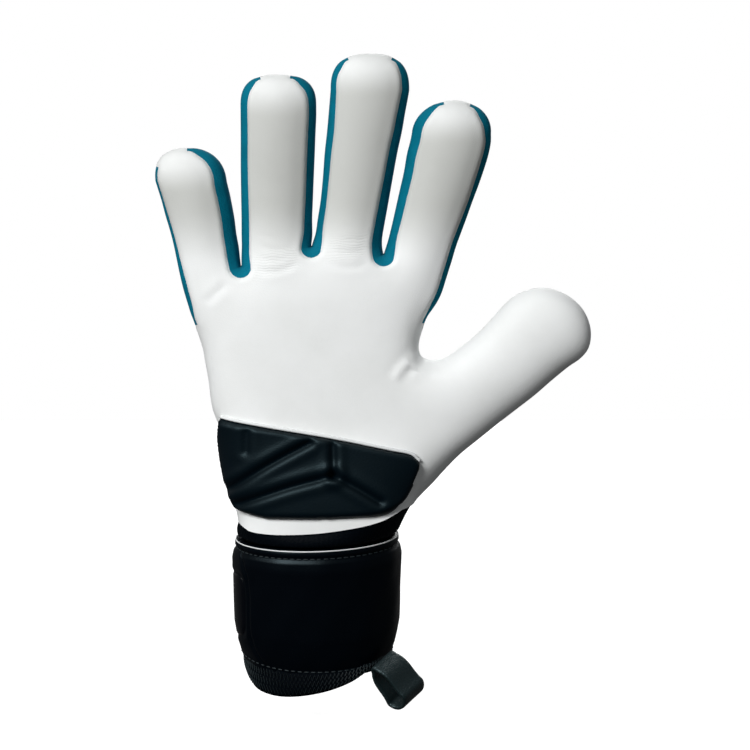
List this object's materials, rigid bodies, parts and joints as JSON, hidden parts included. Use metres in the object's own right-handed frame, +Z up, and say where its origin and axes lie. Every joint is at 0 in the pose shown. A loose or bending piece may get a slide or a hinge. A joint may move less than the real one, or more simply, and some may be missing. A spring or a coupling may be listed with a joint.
{
  "type": "goalkeeper glove",
  "caption": "Right-hand padded glove with a thick latex palm, gusseted fingers, quilted heel pad, wrist strap and pull tab.",
  "frame": {"origin": "middle of the cuff's opening, level with the hem's lowest edge", "axes": "+Z up along the fingers, -Y is the way the palm faces, +X towards the thumb"},
  "size_m": [0.1864, 0.0568, 0.2863],
  "materials": {
    "white_latex": "matt smooth latex foam",
    "teal_gusset": "fine knitted gusset fabric",
    "back_panel": "smooth coated textile",
    "lining": "soft brushed lining",
    "dark_pad": "embossed smooth pad",
    "foam": "soft foam core",
    "white_piping": "turned edge tape",
    "black_knit": "ribbed elastic knit",
    "strap_skin": "satin moulded skin",
    "badge": "smooth bare recess",
    "hook_tape": "hook tape",
    "loop_tape": "loop tape",
    "webbing": "flat woven tape"
  },
  "bodies": {
    "hand": {"back_hand": "back_panel", "back_lining": "lining", "back_pad": "white_latex", "cuff_hem": "black_knit", "heel_pad_foam": "foam", "heel_pad_piping": "white_piping", "heel_pad_skin": "dark_pad", "index_outer_gusset": "teal_gusset", "little_outer_gusset": "teal_gusset", "little_ring_web": "teal_gusset", "loop_patch": "loop_tape", "middle_index_web": "teal_gusset", "palm_latex": "white_latex", "palm_lining": "lining", "ring_middle_web": "teal_gusset", "strap_badge": "badge", "strap_foam": "foam", "strap_piping": "white_piping", "strap_skin": "strap_skin", "tab_tail": "webbing", "wrist_elastic": "black_knit"},
    "little_lower": {"little_lower_back": "back_panel", "little_lower_gusset": "teal_gusset", "little_lower_latex": "white_latex"},
    "little_upper": {"little_upper_back": "back_panel", "little_upper_gusset": "teal_gusset", "little_upper_latex": "white_latex"},
    "ring_lower": {"ring_lower_back": "back_panel", "ring_lower_gusset": "teal_gusset", "ring_lower_latex": "white_latex"},
    "ring_upper": {"ring_upper_back": "back_panel", "ring_upper_gusset": "teal_gusset", "ring_upper_latex": "white_latex"},
    "middle_lower": {"middle_lower_back": "back_panel", "middle_lower_gusset": "teal_gusset", "middle_lower_latex": "white_latex"},
    "middle_upper": {"middle_upper_back": "back_panel", "middle_upper_gusset": "teal_gusset", "middle_upper_latex": "white_latex"},
    "index_lower": {"index_lower_back": "back_panel", "index_lower_gusset": "teal_gusset", "index_lower_latex": "white_latex"},
    "index_upper": {"index_upper_back": "back_panel", "index_upper_gusset": "teal_gusset", "index_upper_latex": "white_latex"},
    "thumb_lower": {"thumb_lower_back": "back_panel", "thumb_lower_latex": "white_latex"},
    "thumb_upper": {"thumb_upper_back": "back_panel", "thumb_upper_latex": "white_latex"},
    "strap_end": {"flap_foam": "foam", "flap_skin": "strap_skin", "hook_patch": "hook_tape"},
    "tab_loop": {"pull_tab": "webbing"}
  },
  "joints": [
    {"name": "little_base_fold", "type": "hinge", "parent": "hand", "child": "little_lower", "pos_m": [-0.0477, -0.01327, 0.19109], "axis": [1, 0, 0], "range_deg": [0, 75]},
    {"name": "little_middle_fold", "type": "hinge", "parent": "little_lower", "child": "little_upper", "pos_m": [-0.05213, -0.01469, 0.21104], "axis": [1, 0, 0], "range_deg": [0, 85]},
    {"name": "ring_base_fold", "type": "hinge", "parent": "hand", "child": "ring_lower", "pos_m": [-0.01691, -0.01327, 0.19657], "axis": [1, 0, 0], "range_deg": [0, 75]},
    {"name": "ring_middle_fold", "type": "hinge", "parent": "ring_lower", "child": "ring_upper", "pos_m": [-0.01667, -0.01564, 0.23047], "axis": [1, 0, 0], "range_deg": [0, 85]},
    {"name": "middle_base_fold", "type": "hinge", "parent": "hand", "child": "middle_lower", "pos_m": [0.01398, -0.01327, 0.19658], "axis": [1, 0, 0], "range_deg": [0, 75]},
    {"name": "middle_middle_fold", "type": "hinge", "parent": "middle_lower", "child": "middle_upper", "pos_m": [0.01912, -0.01592, 0.23412], "axis": [1, 0, 0], "range_deg": [0, 85]},
    {"name": "index_base_fold", "type": "hinge", "parent": "hand", "child": "index_lower", "pos_m": [0.04566, -0.01327, 0.1941], "axis": [1, 0, 0], "range_deg": [0, 75]},
    {"name": "index_middle_fold", "type": "hinge", "parent": "index_lower", "child": "index_upper", "pos_m": [0.05338, -0.01532, 0.22248], "axis": [1, 0, 0], "range_deg": [0, 85]},
    {"name": "thumb_base_fold", "type": "hinge", "parent": "hand", "child": "thumb_lower", "pos_m": [0.0646, -0.01676, 0.13115], "axis": [0.6347, 0, -0.7727], "range_deg": [0, 40]},
    {"name": "thumb_middle_fold", "type": "hinge", "parent": "thumb_lower", "child": "thumb_upper", "pos_m": [0.08463, -0.01858, 0.14759], "axis": [0.6347, 0, -0.7727], "range_deg": [0, 60]},
    {"name": "strap_end_peel", "type": "hinge", "parent": "hand", "child": "strap_end", "pos_m": [-0.02912, 0.01733, 0.045], "axis": [0, 0, 1], "range_deg": [0, 140]},
    {"name": "pull_tab_swing", "type": "hinge", "parent": "hand", "child": "tab_loop", "pos_m": [0.0265, -0.0185, 0.0126], "axis": [-0.4924, -0.766, -0.4132], "range_deg": [-14, 26], "stiffness_Nm_per_rad": 0.004}
  ]
}
